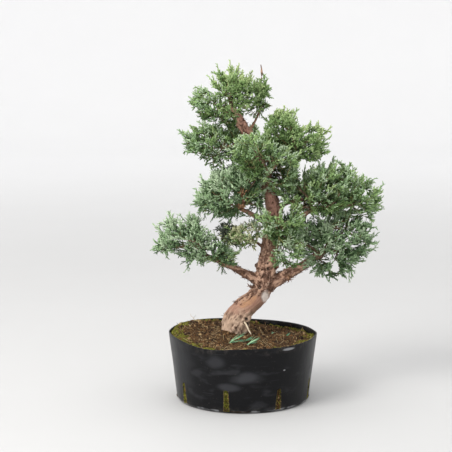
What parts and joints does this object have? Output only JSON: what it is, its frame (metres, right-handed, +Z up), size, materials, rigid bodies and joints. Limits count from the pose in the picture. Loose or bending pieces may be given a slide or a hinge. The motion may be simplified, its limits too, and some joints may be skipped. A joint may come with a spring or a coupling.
{
  "type": "potted chinese juniper bonsai",
  "caption": "Small bonsai juniper with a leaning, curving trunk, boughs and sprays of scale foliage, growing in a low round black nursery pot with slots at its foot.",
  "frame": {"origin": "middle of the pot's flat underside, on the surface that it stands on", "axes": "+Z up, +X to the right of the view that shows the trunk's curve, +Y away from that view"},
  "size_m": [0.2346, 0.1553, 0.3471],
  "materials": {
    "black_plastic": "thin black polypropylene, satin, dusty",
    "potting_soil": "moist potting mix of bark and peat, matt, mossy at the rim",
    "juniper_bark": "reddish brown flaky bark",
    "juniper_foliage": "blue-green scale foliage"
  },
  "bodies": {
    "root": {"pot": "black_plastic", "soil": "potting_soil", "trunk": "juniper_bark", "bough_left_low": "juniper_bark", "bough_right_low": "juniper_bark", "bough_left_inner": "juniper_bark", "bough_back_low": "juniper_bark", "bough_front_low": "juniper_bark", "bough_right_mid": "juniper_bark", "bough_left_mid": "juniper_bark", "bough_back_right": "juniper_bark", "bough_back_left": "juniper_bark", "bough_front_upper": "juniper_bark", "bough_right_upper": "juniper_bark", "bough_back_upper": "juniper_bark", "bough_left_upper": "juniper_bark", "bough_apex_right": "juniper_bark", "bough_apex_left": "juniper_bark", "foliage_apex": "juniper_foliage", "foliage_apex_left": "juniper_foliage", "foliage_apex_right": "juniper_foliage", "foliage_left_upper": "juniper_foliage", "foliage_right_upper": "juniper_foliage", "foliage_front_upper": "juniper_foliage", "foliage_left_mid": "juniper_foliage", "foliage_right_mid": "juniper_foliage", "foliage_right_low": "juniper_foliage", "foliage_left_low": "juniper_foliage", "foliage_front_low": "juniper_foliage", "foliage_left_inner": "juniper_foliage", "foliage_back_upper": "juniper_foliage", "foliage_back_left": "juniper_foliage", "foliage_back_right": "juniper_foliage", "foliage_back_low": "juniper_foliage"}
  },
  "joints": []
}
